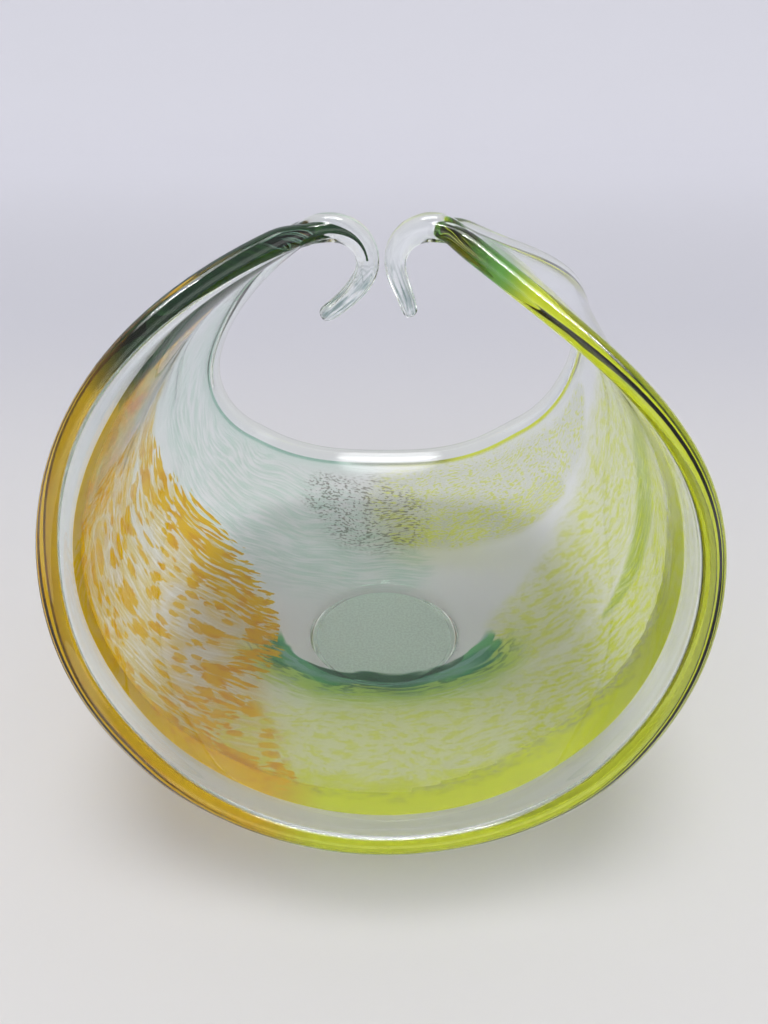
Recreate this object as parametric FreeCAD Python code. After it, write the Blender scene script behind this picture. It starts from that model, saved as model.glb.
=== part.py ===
import FreeCAD, Part
import math
import os
from FreeCAD import Vector

# A blown glass basket bowl. Its front and back lips are low and lean out, and its two sides
# are drawn up, lean inward and end in a pair of solid horns that turn over and curl down in
# the middle. Millimetres, X to the right, Y to the back, Z up, origin in the middle of the
# ground foot.

# Reach of the bowl, from the middle of the strip of glass
FRONT_REACH = 127.0
BACK_REACH = 129.0
SIDE_REACH = 112.0
HORN_HEIGHT = 196.5
LOBE_RISE = 29.0

# Glass and its foot, which stands a little behind the middle of the strip
WALL = 5.6
LIP_DIAMETER = 7.4
BASE_THICKNESS = 7.5
FOOT_DIAMETER = 66.0
FOOT_SPREAD = 84.0
FOOT_BACK = 3.5

# Horns
ROD_DIAMETER = 8.8
TIP_DIAMETER = 5.4
WEB_WIDTH = 22.0
RIGHT_CENTRE = 15.7
RIGHT_CURL = 11.9
RIGHT_TURN = 20.0
RIGHT_DROP = 14.0
LEFT_CENTRE = 17.4
LEFT_CURL = 12.0
LEFT_TURN = 50.0
LEFT_DROP = 14.5

# Shape of each side, from the foot up to the root of its horn. A row gives the middle of the
# wall as shares of the side reach and of the height, then the lip in front of it and the lip
# behind it: how far each is out, as shares of the front and back reach, and how far each
# rises towards the inside of the bowl, as shares of the rise of the lobes.
RIGHT_SIDE = (
    (0.283, 0.012, 0.985, 0.995, 1.00, 0.98),
    (0.628, 0.070, 0.943, 0.975, 1.03, 1.02),
    (0.900, 0.200, 0.897, 0.934, 1.00, 1.01),
    (1.000, 0.385, 0.822, 0.866, 0.66, 0.68),
    (0.961, 0.556, 0.741, 0.798, 0.27, 0.27),
    (0.829, 0.702, 0.624, 0.681, -0.09, -0.09),
    (0.650, 0.812, 0.449, 0.486, -0.16, -0.16),
    (0.452, 0.905, 0.235, 0.269, -0.04, -0.04),
    (0.293, 0.965, 0.090, 0.110, 0.00, 0.00),
)
LEFT_SIDE = (
    (0.282, 0.010, 0.983, 0.993, 1.02, 1.00),
    (0.622, 0.067, 0.933, 0.950, 1.03, 1.07),
    (0.893, 0.194, 0.880, 0.889, 0.97, 1.10),
    (0.990, 0.376, 0.803, 0.811, 0.58, 0.89),
    (0.938, 0.543, 0.734, 0.735, 0.12, 0.61),
    (0.805, 0.691, 0.621, 0.620, -0.33, 0.47),
    (0.651, 0.817, 0.454, 0.440, -0.44, 0.42),
    (0.470, 0.911, 0.246, 0.236, -0.30, 0.24),
    (0.328, 0.962, 0.094, 0.096, -0.15, 0.06),
)

# How finely the skin is laid out
SIDE_RINGS = 24
HORN_RINGS = 13
WALL_STEPS = (0.0, 0.14, 0.28, 0.42, 0.55, 0.67, 0.78, 0.88, 0.96)
LIP_ANGLES = (-102.0, -68.0, -34.0, 0.0, 34.0, 68.0, 102.0)
TIP_CAPS = ((0.42, 0.92), (0.78, 0.66), (0.97, 0.30))
DEGREE = 3
THINNEST = 0.5

ACROSS = Vector(0.0, 1.0, 0.0)
FLOOR_LEVEL = BASE_THICKNESS - WALL / 2.0


def smooth_step(start, end, value):
    """Rises from 0 at start to 1 at end, level at both ends."""
    share = (value - start) / (end - start)
    share = min(max(share, 0.0), 1.0)
    return share * share * (3.0 - 2.0 * share)


def horn_rows(centre_x, curl, turn, drop):
    """The horn's centre line: a quarter turn from its crest, a turn past it, and a drop."""
    centre_z = HORN_HEIGHT - curl
    rows = []
    for angle in (0.0, 45.0, 90.0, 90.0 + turn):
        x = centre_x - curl * math.sin(math.radians(angle))
        z = centre_z + curl * math.cos(math.radians(angle))
        rows.append((x, z))
    past = math.radians(turn)
    end_x, end_z = rows[-1]
    rows.append((end_x + drop * math.sin(past), end_z - drop * math.cos(past)))
    half_widths = (2.8, 1.6, 1.0, 0.9, 0.8)
    return [(x, z, half, half, 0.0, 0.0) for (x, z), half in zip(rows, half_widths)]


def side_rows(shares, centre_x, curl, turn, drop):
    """One side in millimetres: wall middle, lips out and lip rises, from the foot to the tip."""
    rows = []
    for reach, height, front, back, front_rise, back_rise in shares:
        rows.append((
            reach * SIDE_REACH,
            FLOOR_LEVEL + height * (HORN_HEIGHT - FLOOR_LEVEL),
            front * FRONT_REACH,
            back * BACK_REACH,
            front_rise * LOBE_RISE,
            back_rise * LOBE_RISE,
        ))
    return rows + horn_rows(centre_x, curl, turn, drop)


def mirrored(rows):
    """The same rows on the left, from the tip to the foot."""
    return [(-row[0],) + row[1:] for row in reversed(rows)]


class Sheet:
    """The middle of the glass: a strip that follows the C of the sides, lip to lip across."""

    def __init__(self, left, right):
        middle = [(0.0, FLOOR_LEVEL, FRONT_REACH, BACK_REACH, LOBE_RISE, LOBE_RISE)]
        rows = mirrored(left) + middle + right
        self.stations = [0.0]
        for last, row in zip(rows, rows[1:]):
            step = math.hypot(row[0] - last[0], row[1] - last[1])
            self.stations.append(self.stations[-1] + step)
        self.spine = self.guide([Vector(row[0], -FOOT_BACK, row[1]) for row in rows])
        placed = list(zip(rows, self.stations))
        self.reach = self.guide([Vector(row[2], row[3], at) for row, at in placed])
        self.rise = self.guide([Vector(row[4], row[5], at) for row, at in placed])
        self.foot = self.stations[len(left)]
        self.left_root = self.stations[len(left) - len(LEFT_SIDE)]
        self.right_root = self.stations[len(left) + len(RIGHT_SIDE)]
        self.length = self.stations[-1]

    def guide(self, points):
        curve = Part.BSplineCurve()
        curve.interpolate(Points=points, Parameters=self.stations)
        return curve

    def inward(self, at):
        """Across the wall, towards the inside of the C."""
        along = self.spine.tangent(at)[0]
        return Vector(-along.z, 0.0, along.x).normalize()

    def reaches(self, at):
        """How far the front and the back lip are out, never less than a thin strip."""
        reach = self.reach.value(at)
        return max(reach.x, THINNEST), max(reach.y, THINNEST)

    def half_width(self, at):
        return sum(self.reaches(at)) / 2.0

    def point(self, at, share):
        """A point of the sheet; share runs from -1 at the front lip to 1 at the back lip."""
        front, back = self.reaches(at)
        rise = self.rise.value(at)
        out = front if share < 0.0 else back
        lift = rise.x if share < 0.0 else rise.y
        return self.spine.value(at) + ACROSS * (share * out) + self.inward(at) * (lift * share ** 2)

    def along(self, at, share):
        step = 0.5
        start = max(at - step, 0.0)
        end = min(at + step, self.length)
        return (self.point(end, share) - self.point(start, share)).normalize()

    def normal(self, at, share):
        """Square to the sheet, towards the inside of the bowl."""
        step = 0.02
        across = self.point(at, min(share + step, 1.0)) - self.point(at, max(share - step, -1.0))
        return self.along(at, share).cross(across).normalize()

    def ring_stations(self):
        """Where the rings stand, closer together along the horns."""
        left_horn = [self.left_root * i / HORN_RINGS for i in range(HORN_RINGS)]
        left_side = [
            self.left_root + (self.foot - self.left_root) * i / SIDE_RINGS
            for i in range(SIDE_RINGS)
        ]
        right_side = [
            self.foot + (self.right_root - self.foot) * i / SIDE_RINGS
            for i in range(SIDE_RINGS)
        ]
        right_horn = [
            self.right_root + (self.length - self.right_root) * i / HORN_RINGS
            for i in range(HORN_RINGS + 1)
        ]
        return left_horn + left_side + right_side + right_horn


def edge_radius(sheet, at):
    """Radius of the lip, which thickens into the rod of the horn and thins to its tip."""
    from_tip = min(at, sheet.length - at)
    horn = sheet.left_root if at < sheet.foot else sheet.length - sheet.right_root
    lip = LIP_DIAMETER / 2.0
    rod = ROD_DIAMETER / 2.0
    tip = TIP_DIAMETER / 2.0
    thick = lip + (rod - lip) * smooth_step(2.0 * horn, 0.8 * horn, from_tip)
    return tip + (thick - tip) * smooth_step(-0.1 * horn, 0.6 * horn, from_tip)


def half_wall(sheet, at):
    """Half the wall, which fills in to the rod where the two lips meet."""
    rod_share = smooth_step(WEB_WIDTH, 0.0, 2.0 * sheet.half_width(at))
    return WALL / 2.0 + (edge_radius(sheet, at) - WALL / 2.0) * rod_share


def pole_radius(radius, step_degrees):
    """Where the poles of a round stretch stand, so that the skin itself has the radius."""
    return radius * 3.0 / (2.0 + math.cos(math.radians(step_degrees)))


def strap_poles(sheet, at):
    """The poles of one ring: outer wall, back lip, inner wall and front lip."""
    half = half_wall(sheet, at)
    radius = edge_radius(sheet, at)
    inset = min(radius / max(sheet.half_width(at), radius), 0.9)
    shares = [-share for share in reversed(WALL_STEPS[1:])] + list(WALL_STEPS)
    shares = [share * (1.0 - inset) for share in shares]
    outer = []
    inner = []
    for share in shares:
        middle = sheet.point(at, share)
        normal = sheet.normal(at, share)
        outer.append(middle - normal * half)
        inner.append(middle + normal * half)
    back = lip_poles(sheet, at, 1.0, radius)
    front = lip_poles(sheet, at, -1.0, radius)
    return outer + back + inner[::-1] + front[::-1]


def lip_poles(sheet, at, share, radius):
    """The rounded lip, from the outside of the wall over the edge to the inside."""
    centre = sheet.point(at, share)
    normal = sheet.normal(at, share)
    outward = normal.cross(sheet.along(at, share)).normalize() * share
    reach = pole_radius(radius, LIP_ANGLES[1] - LIP_ANGLES[0])
    poles = []
    for angle in LIP_ANGLES:
        turn = math.radians(angle)
        poles.append(centre + (outward * math.cos(turn) + normal * math.sin(turn)) * reach)
    return poles


def rod_poles(sheet, at, count, radius):
    """The poles of a round ring, starting with the outer wall's first pole."""
    centre = sheet.spine.value(at)
    inward = sheet.inward(at)
    step = 360.0 / count
    reach = pole_radius(radius, step)
    first = -90.0 - step * (len(WALL_STEPS) - 1)
    poles = []
    for place in range(count):
        turn = math.radians(first + step * place)
        poles.append(centre + (ACROSS * math.cos(turn) + inward * math.sin(turn)) * reach)
    return poles


def ring(sheet, at):
    """One ring of the skin: a strap with round edges that becomes a rod along the horn."""
    strap = strap_poles(sheet, at)
    width = sheet.half_width(at)
    radius = edge_radius(sheet, at) + width * 0.25
    rod = rod_poles(sheet, at, len(strap), radius)
    share = smooth_step(9.0, 1.5, width)
    return [flat * (1.0 - share) + round_one * share for flat, round_one in zip(strap, rod)]


def tip_rings(sheet, at, heading):
    """Rings that close a horn to a rounded tip."""
    count = 2 * (2 * len(WALL_STEPS) - 1) + 2 * len(LIP_ANGLES)
    radius = edge_radius(sheet, at)
    rings = []
    for ahead, share in TIP_CAPS:
        poles = rod_poles(sheet, at, count, radius * share)
        rings.append([pole + heading * (radius * ahead) for pole in poles])
    return rings


def skin(rings):
    """A smooth closed tube through the rings, with a small flat at each end."""
    surface = Part.BSplineSurface()
    spans = len(rings) - DEGREE
    end_mults = [DEGREE + 1] + [1] * (spans - 1) + [DEGREE + 1]
    around = len(rings[0])
    surface.buildFromPolesMultsKnots(
        rings,
        end_mults,
        [1] * (around + 1),
        [float(i) for i in range(spans + 1)],
        [float(i) for i in range(around + 1)],
        False,
        True,
        DEGREE,
        DEGREE,
    )
    wall = surface.toShape()
    faces = [wall]
    for end in (0.0, float(spans)):
        edge = surface.uIso(end).toShape()
        faces.append(Part.Face(Part.Wire([edge])))
    shell = Part.Shell(faces)
    shell.sewShape()
    solid = Part.Solid(shell)
    if solid.Volume < 0.0:
        solid.reverse()
    return solid


def foot():
    """The pad under the middle: ground flat below, and flowing into the wall around it."""
    ground = FOOT_DIAMETER / 2.0
    spread = FOOT_SPREAD / 2.0
    meeting = FLOOR_LEVEL + LOBE_RISE * (2.0 * spread / (FRONT_REACH + BACK_REACH)) ** 2
    centre = Vector(0.0, 0.0, 0.0)
    rim = Vector(ground, 0.0, 0.0)
    join = Vector(spread, 0.0, meeting)
    top = Vector(0.0, 0.0, FLOOR_LEVEL)
    flare = Part.BezierCurve()
    flare.setPoles([rim, Vector(ground + 0.15 * (spread - ground), 0.0, 0.66 * meeting), join])
    edges = [Part.LineSegment(centre, rim), flare, Part.LineSegment(join, top)]
    edges.append(Part.LineSegment(top, centre))
    profile = Part.Wire([edge.toShape() for edge in edges])
    return Part.Face(profile).revolve(centre, Vector(0.0, 0.0, 1.0), 360.0)


def glass_bowl():
    """The whole bowl, one piece of glass."""
    left = side_rows(LEFT_SIDE, LEFT_CENTRE, LEFT_CURL, LEFT_TURN, LEFT_DROP)
    right = side_rows(RIGHT_SIDE, RIGHT_CENTRE, RIGHT_CURL, RIGHT_TURN, RIGHT_DROP)
    sheet = Sheet(left, right)
    rings = [ring(sheet, at) for at in sheet.ring_stations()]
    left_way = sheet.along(0.0, 0.0) * -1.0
    right_way = sheet.along(sheet.length, 0.0)
    rings = tip_rings(sheet, 0.0, left_way)[::-1] + rings
    rings = rings + tip_rings(sheet, sheet.length, right_way)
    return skin(rings).fuse(foot()).removeSplitter()


os.makedirs("parts", exist_ok=True)
bowl = glass_bowl()
bowl.exportStep("parts/glass_bowl.step")
print("solids", len(bowl.Solids), "valid", bowl.isValid(), "volume", round(bowl.Volume))
print("box", bowl.BoundBox)
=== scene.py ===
import math

import bpy
import numpy as np
from bpy.props import FloatProperty, FloatVectorProperty, PointerProperty
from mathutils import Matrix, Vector


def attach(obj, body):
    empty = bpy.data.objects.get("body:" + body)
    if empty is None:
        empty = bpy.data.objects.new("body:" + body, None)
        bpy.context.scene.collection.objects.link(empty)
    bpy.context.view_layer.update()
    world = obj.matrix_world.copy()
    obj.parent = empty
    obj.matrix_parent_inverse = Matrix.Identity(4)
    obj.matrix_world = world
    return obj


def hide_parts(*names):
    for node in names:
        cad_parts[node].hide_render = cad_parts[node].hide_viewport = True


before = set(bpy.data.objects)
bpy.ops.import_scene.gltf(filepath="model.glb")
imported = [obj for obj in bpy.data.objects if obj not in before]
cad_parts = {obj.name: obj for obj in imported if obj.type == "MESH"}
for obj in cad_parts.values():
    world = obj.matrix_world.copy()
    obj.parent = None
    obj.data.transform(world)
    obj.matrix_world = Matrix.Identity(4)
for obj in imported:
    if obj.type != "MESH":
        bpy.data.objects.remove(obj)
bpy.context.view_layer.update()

bl_info = {
    "name": "Blown Glass Basket Bowl",
    "version": (1, 0, 0),
    "blender": (4, 5, 0),
    "location": "View3D > Sidebar > Glass Bowl",
    "description": "Makes a cased glass basket bowl with two curled horns, and a table to show it on",
    "category": "Add Mesh",
}

NODE = "glass_bowl"
BODY = "root"

# Shape of each side, from the foot up to the root of its horn. A row gives the middle of the
# wall as shares of the side reach and of the height, then the lip in front of it and the lip
# behind it: how far each is out, as shares of the front and back reach, and how far each
# rises towards the inside of the bowl, as shares of the rise of the lobes.
RIGHT_SIDE = (
    (0.283, 0.012, 0.985, 0.995, 1.00, 0.98),
    (0.628, 0.070, 0.943, 0.975, 1.03, 1.02),
    (0.900, 0.200, 0.897, 0.934, 1.00, 1.01),
    (1.000, 0.385, 0.822, 0.866, 0.66, 0.68),
    (0.961, 0.556, 0.741, 0.798, 0.27, 0.27),
    (0.829, 0.702, 0.624, 0.681, -0.09, -0.09),
    (0.650, 0.812, 0.449, 0.486, -0.16, -0.16),
    (0.452, 0.905, 0.235, 0.269, -0.04, -0.04),
    (0.293, 0.965, 0.090, 0.110, 0.00, 0.00),
)
LEFT_SIDE = (
    (0.282, 0.010, 0.983, 0.993, 1.02, 1.00),
    (0.622, 0.067, 0.933, 0.950, 1.03, 1.07),
    (0.893, 0.194, 0.880, 0.889, 0.97, 1.10),
    (0.990, 0.376, 0.803, 0.811, 0.58, 0.89),
    (0.938, 0.543, 0.734, 0.735, 0.12, 0.61),
    (0.805, 0.691, 0.621, 0.620, -0.33, 0.47),
    (0.651, 0.817, 0.454, 0.440, -0.44, 0.42),
    (0.470, 0.911, 0.246, 0.236, -0.30, 0.24),
    (0.328, 0.962, 0.094, 0.096, -0.15, 0.06),
)

# Half widths of the strip at the points of each horn's centre line, from its crest to its tip
HORN_HALF_WIDTHS = (0.0028, 0.0016, 0.0010, 0.0009, 0.0008)

# How finely the glass is laid out: rings, shares across the wall, angles round the lip, and
# for each closing ring of a tip how far ahead it is and its size, as shares of the radius
SIDE_RINGS = 24
HORN_RINGS = 13
WALL_STEPS = (0.0, 0.14, 0.28, 0.42, 0.55, 0.67, 0.78, 0.88, 0.96)
LIP_ANGLES = (-102.0, -68.0, -34.0, 0.0, 34.0, 68.0, 102.0)
TIP_CAPS = ((0.42, 0.92), (0.78, 0.66), (0.97, 0.30))
THINNEST = 0.0005
# Half widths of the strip between which the strap turns into a round rod
ROD_BLEND = (0.009, 0.0015)
# The foot: segments, rings, how its skirt bends between the ground face and the wall, and the
# share of its width where it is closed inside the wall
FOOT_SEGMENTS = 128
FOOT_RINGS = 8
SKIRT_REACH = 0.15
SKIRT_LEVEL = 0.66
FOOT_TOP = 0.2
SHARP_ANGLE = math.radians(35.0)
# The ridges that the drawn glass keeps near the tips of the horns: how many, their depth as a
# share of the radius, how far they turn for each metre, and how far from a tip they fade out
RIDGES = 8
RIDGE_DEPTH = 0.055
RIDGE_TWIST = 60.0
RIDGE_REACH = (0.034, 0.012)

# The colour layer, in millimetres along the strip from the foot (left is less) and across it
# (front is less)
LAYER_ROWS = 320
LAYER_STEPS = 112
LAYER_ENDS = (-325, 293)
LAYER_THICKNESS = 0.4
# How far the layer stays short of the front lip and of the back lip, along the strip
CLEAR_BAND = (
    (-325, 0.5, 0.5), (-290, 3.5, 3.5), (-250, 14, 5.5), (-226, 17, 5.5), (-200, 14.5, 5.5),
    (-145, 19, 5.5), (-105, 18, 5.5), (-75, 15, 5.5), (-15, 12.5, 5.5), (50, 15, 5.5),
    (93, 22, 5.5), (150, 29, 5.5), (200, 30, 5.5), (250, 14, 5.5), (293, 3.5, 3.5),
)
# The rope that the layer becomes in each horn: its half width, and how far it lies below the
# middle of the rod
ROPE = (
    (-325, 0.4, 0.6), (-314, 1.6, 0.9), (-300, 2.6, 1.2), (-270, 3, 1), (-240, 3, 0), (240, 3, 0),
    (270, 2.9, 0.9), (288, 2.5, 1.1), (293, 2.2, 1.1),
)
# Where the colour is laid so thick that no light passes: along the strip, and how many steps of
# the layer from its front edge, then beyond which places in the horns
DENSE_STEPS = ((-60, 6), (10, 6), (140, 17), (200, 26))
DENSE_HORNS = (-245, 240)
# The line that the amber and cream lie in front of: along and across. Then, in front of the
# front start, where they give way to lime: how far to the front, and along
AMBER_EDGE = (
    (-290, -8), (-262, 2), (-230, 16), (-200, 26), (-160, 36), (-127, 50), (-96, 49), (-74, 34),
    (-60, 19), (-52, 7), (-50, -10),
)
FRONT_START = -10
AMBER_END = ((10, -50), (26, -58), (48, -50), (70, -36), (95, -30))
# Brush strokes: how thick the colour is laid, then along, across and half width
AMBER_STROKES = (
    (0.8, ((-200, 12, 8), (-160, 27, 12), (-125, 41, 15), (-98, 39, 18), (-78, 23, 18),
           (-60, 6, 14), (-56, -14, 11))),
    (0.75, ((-60, -25, 10), (-66, -45, 10), (-75, -65, 12), (-85, -82, 14))),
    (0.85, ((-170, -76, 8), (-130, -86, 12), (-95, -95, 14), (-62, -98, 14), (-44, -98, 10))),
)
LIME_STROKES = (
    (0.62, ((-50, -80, 30), (0, -78, 36), (50, -72, 36), (90, -56, 32))),
    (1.0, ((70, -84, 20), (90, -62, 30), (125, -42, 30), (150, -24, 24), (178, -4, 18),
           (205, 10, 8))),
    (0.75, ((50, -24, 10), (76, -6, 24), (120, 24, 30), (160, 40, 30), (200, 40, 24))),
    (0.85, ((215, -34, 20), (240, -24, 20), (262, -12, 16))),
)
STIPPLE_STROKES = (
    (0.9, ((14, 76, 12), (40, 74, 14), (78, 72, 14), (108, 72, 10))),
    (0.55, ((14, 95, 26), (40, 94, 28), (78, 92, 26), (112, 88, 22), (140, 84, 16), (165, 88, 6))),
)
LEAF_STROKE = ((224, -26, 4), (195, -2, 9), (174, 6, 11), (156, -3, 11), (133, -13, 8),
               (106, -24, 2))
ROPE_STROKE = ((-326, 0, 30), (-285, -8, 18), (-262, -24, 9), (-240, -36, 4))
OLIVE_STROKE = ((-268, -6, 7), (-238, 5, 6), (-220, 0, 5.5), (-200, -4, 5), (-182, -14, 2.5))
SMOKE_STROKE = ((-36, 98, 16), (-12, 88, 26), (2, 84, 24))
MINT_STROKE = ((-230, 50, 22), (-150, 85, 34), (-90, 80, 44), (-40, 70, 40), (10, 50, 16))
# How far the thick lime reaches from the layer's front edge: along, and in flow units
EDGE_REACH = ((20, 0.16), (120, 0.21), (200, 0.27))
# The collar goes round the foot as an ellipse, longer along the strip. Its crescent has a half
# length and a thickness, and its wisp lies on a ring
COLLAR_MIDDLE = 3
COLLAR_STRETCH = 1.75
COLLAR_RADIUS = 38
CRESCENT = (37, 5)
WISP_RING = 35.5
# Millimetres in a unit of the flow maps, and the edge of the foot in such units
FLOW_UNIT = 100
FOOT_RING = 0.297

# Strands in the colour, as patterns on the flow maps: how much is left of the map along the
# flow, their scale and their detail. Then the scale and strength of each map's drift
FLOW_STRANDS = {
    "hair": (0.10, 60.0, 2.0),
    "streak": (0.17, 42.0, 2.0),
    "dash": (0.40, 90.0, 1.0),
    "mottle": (0.60, 17.0, 2.0),
    "cloud": (0.80, 7.0, 1.0),
    "grit": (0.50, 30.0, 2.0),
    "fibre": (0.28, 110.0, 1.0),
    "speck": (0.38, 95.0, 1.0),
}
ROUND_STRANDS = {
    "hair": (0.20, 85.0, 1.0),
    "wisp": (0.22, 38.0, 1.0),
    "wide": (0.35, 15.0, 1.0),
}
FLOW_DRIFT = (3.0, (0.14, 0.10, 0.0))
ROUND_DRIFT = (6.0, (0.10, 0.035, 0.0))
# How much the grains of amber shrink outside their field
BLOB_LOSS = 0.4

# Colours beside those that a user may change
WHITE = (1.0, 1.0, 1.0)
MINT_LINE = (0.26, 0.55, 0.42)
WARM_CREAM = (0.96, 0.72, 0.14)
LIME_WHITE = (0.86, 0.86, 0.72)
PALE_LIME = 0.45
ROOT_GREEN = (0.20, 0.52, 0.10)
STIPPLE_HAZE = (0.66, 0.70, 0.46)
SMOKE_LINE = (0.10, 0.16, 0.12)
GRASS_PALE = (0.78, 0.94, 0.24)
GRASS_DARK = (0.16, 0.40, 0.12)
COLLAR_DEEP = (0.09, 0.42, 0.24)
COLLAR_LIGHT = (0.18, 0.60, 0.24)
COLLAR_WISP = (0.42, 0.66, 0.62)
# The crescent's dark green, frit darkened by painted shade in the fold at the foot's edge
COLLAR_CRESCENT = (0.07, 0.21, 0.10)
AMBER_DEEP = (0.94, 0.50, 0.0)
AMBER_RIM = (1.0, 0.66, 0.0)
OLIVE = (0.17, 0.19, 0.09)
OLIVE_WARM = (0.36, 0.27, 0.04)
ROPE_LIT = (0.03, 0.10, 0.03)
# Grey of the painted shade lines along the tips of the horns
TIP_SHADE_STREAK = (0.30, 0.42, 0.39)
# How bright the darker grains of the ground face and the painted shade at the foot of the backdrop
# stay, and the least cover that a colour is divided by
DARK_GRAIN_AND_SHADE = 0.86
LEAST_COVER = 0.0001

# The glass: its refraction, the waves of its skin, the grain of the ground face, and the
# painted shade streaks at the tips with how far below the crest they start and are full
GLASS_IOR = 1.5
WAVE_SCALE = 28.0
WAVE_HEIGHT = 0.00004
GRAIN_SCALE = 900.0
GRAIN_HEIGHT = 0.00005
STREAK_SCALE = 900.0
STREAK_LENGTH = 9.0
STREAK_LEVELS = (0.46, 0.62)
STREAK_DROPS = (0.007, 0.022)
# Which faces are the ground foot, and which the drawn tips, with shares of the horns' height
GROUND_LEVEL = 0.00005
GROUND_FACING = -0.9
TIP_REACH = 0.030
TIP_HEIGHTS = (0.6, 0.97)
# How much of the light passes the thin colour
THIN_CLEARNESS = 0.92

# The table and its backdrop, in metres. The table's colour darkens to a painted shade at the foot of
# the backdrop and then turns to the backdrop's, in two steps
TABLE_SIZE = 8.0
TABLE_LEVEL = -0.0002
TABLE_CUT = 2.6
BEND_STEPS = 8
BEND_STEP = 0.14
BACKDROP_HEIGHT = 3.0
# Where the table darkens to the painted shade, and where it turns to the backdrop's colour
TABLE_TURNS = (-0.1, 0.5)
WALL_TURNS = (0.5, 1.5)
# The camera of the photo
CAMERA_PLACE = (0.0, -0.2796, 0.2606)
CAMERA_TILT = math.radians(56.6)
CAMERA_LENS = 36.0 * 770.0 / 1024.0
CAMERA_NEAREST = 0.01
# The soft light: its strength all round, the cap overhead and the glow low in front, each with
# its strength and where it grows, and how bright it looks to the camera
SKY_BASE = 0.54
SKY_CAP = 6.2
CAP_HEIGHTS = (0.95, 0.985)
SKY_GLOW = 1.2
GLOW_HEIGHTS = (0.6, 0.25)
GLOW_DEPTHS = (0.25, -0.05)
SKY_SEEN = 0.62
PANEL_PLACE = (0.0, -0.12, 1.3)
PANEL_SIZE = (0.5, 0.038)
# How often light may turn in the glass, and pass clear places of the colour
TURNS_IN_GLASS = 16
CLEAR_PASSES = 24

MM = 0.001
ACROSS = Vector((0.0, 1.0, 0.0))


# Sizes and colours that a user may change

def length(name, description, default):
    return FloatProperty(
        name=name, description=description, default=default, min=0.0, unit="LENGTH"
    )


def angle(name, description, degrees):
    return FloatProperty(
        name=name, description=description, default=math.radians(degrees), subtype="ANGLE"
    )


def colour(name, description, default):
    return FloatVectorProperty(
        name=name, description=description, default=default, size=3, min=0.0, max=1.0,
        subtype="COLOR",
    )


class BowlShape(bpy.types.PropertyGroup):
    front_reach: length("Front Reach", "From the middle of the strip to the front lip", 0.127)
    back_reach: length("Back Reach", "From the middle of the strip to the back lip", 0.129)
    side_reach: length("Side Reach", "From the middle of the strip to the belly of each side", 0.112)
    horn_height: length("Horn Height", "Centre of the horns at their crest", 0.1965)
    lobe_rise: length("Lobe Rise", "How far the front and back lips rise above the floor", 0.029)
    wall: length("Wall", "Thickness of the cased wall", 0.0056)
    lip_diameter: length("Lip", "Diameter of the fire polished lip", 0.0074)
    base_thickness: length("Base", "Thickness of the glass over the foot", 0.0075)
    foot_diameter: length("Foot", "Diameter of the ground face", 0.066)
    foot_spread: length("Foot Spread", "Diameter at which the foot flows into the wall", 0.084)
    foot_back: length("Foot Back", "How far the foot stands behind the middle of the strip", 0.0035)
    rod_diameter: length("Horn Rod", "Diameter of the horns at their crest", 0.0088)
    tip_diameter: length("Horn Tip", "Diameter of the horns at their tips", 0.0054)
    web_width: length("Web", "Width at which the wall has become a solid rod", 0.022)
    right_centre: length("Right Centre", "Centre of the right curl, from the middle", 0.0157)
    left_centre: length("Left Centre", "Centre of the left curl, from the middle", 0.0174)
    right_curl: length("Right Curl", "Radius of the right horn's curl", 0.0119)
    left_curl: length("Left Curl", "Radius of the left horn's curl", 0.012)
    right_drop: length("Right Drop", "Straight length at the end of the right horn", 0.014)
    left_drop: length("Left Drop", "Straight length at the end of the left horn", 0.0145)
    right_turn: angle("Right Turn", "How far the right horn turns past its side", 20.0)
    left_turn: angle("Left Turn", "How far the left horn turns past its side", 50.0)


class BowlColours(bpy.types.PropertyGroup):
    clear: colour("Clear", "Tint of the clear casing", (0.955, 0.985, 0.963))
    ground: colour("Ground Face", "The ground glass under the foot", (0.70, 0.82, 0.75))
    amber: colour("Amber", "Orange frit on the left", (1.0, 0.64, 0.0))
    cream: colour("Cream", "Opal white under the frit", (0.98, 0.93, 0.78))
    lime: colour("Lime", "Yellow green frit on the front and right", (0.90, 0.98, 0.04))
    leaf: colour("Leaf Green", "The streak on the right", (0.50, 0.68, 0.05))
    green: colour("Bottle Green", "Dark green of the left horn and the collar", (0.012, 0.05, 0.022))
    smoke: colour("Smoke", "Grey brown specks at the back", (0.20, 0.17, 0.13))
    mint: colour("Mint", "Pale green tint at the back", (0.58, 0.88, 0.72))


class BowlTable(bpy.types.PropertyGroup):
    table: colour("Table", "The pale table", (0.67, 0.66, 0.66))
    wall: colour("Backdrop", "The backdrop behind the table", (0.60, 0.60, 0.66))
    sky: FloatProperty(
        name="Sky", description="Strength of the soft light all around", default=1.0, min=0.0
    )
    panel: FloatProperty(
        name="Panel Lamp", description="Power of the lamp that gives the highlights", default=4.5,
        min=0.0, unit="POWER",
    )


# The middle of the glass

def smooth_step(start, end, value):
    """Rises from 0 at start to 1 at end, level at both ends."""
    share = (value - start) / (end - start)
    share = min(max(share, 0.0), 1.0)
    return share * share * (3.0 - 2.0 * share)


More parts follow.
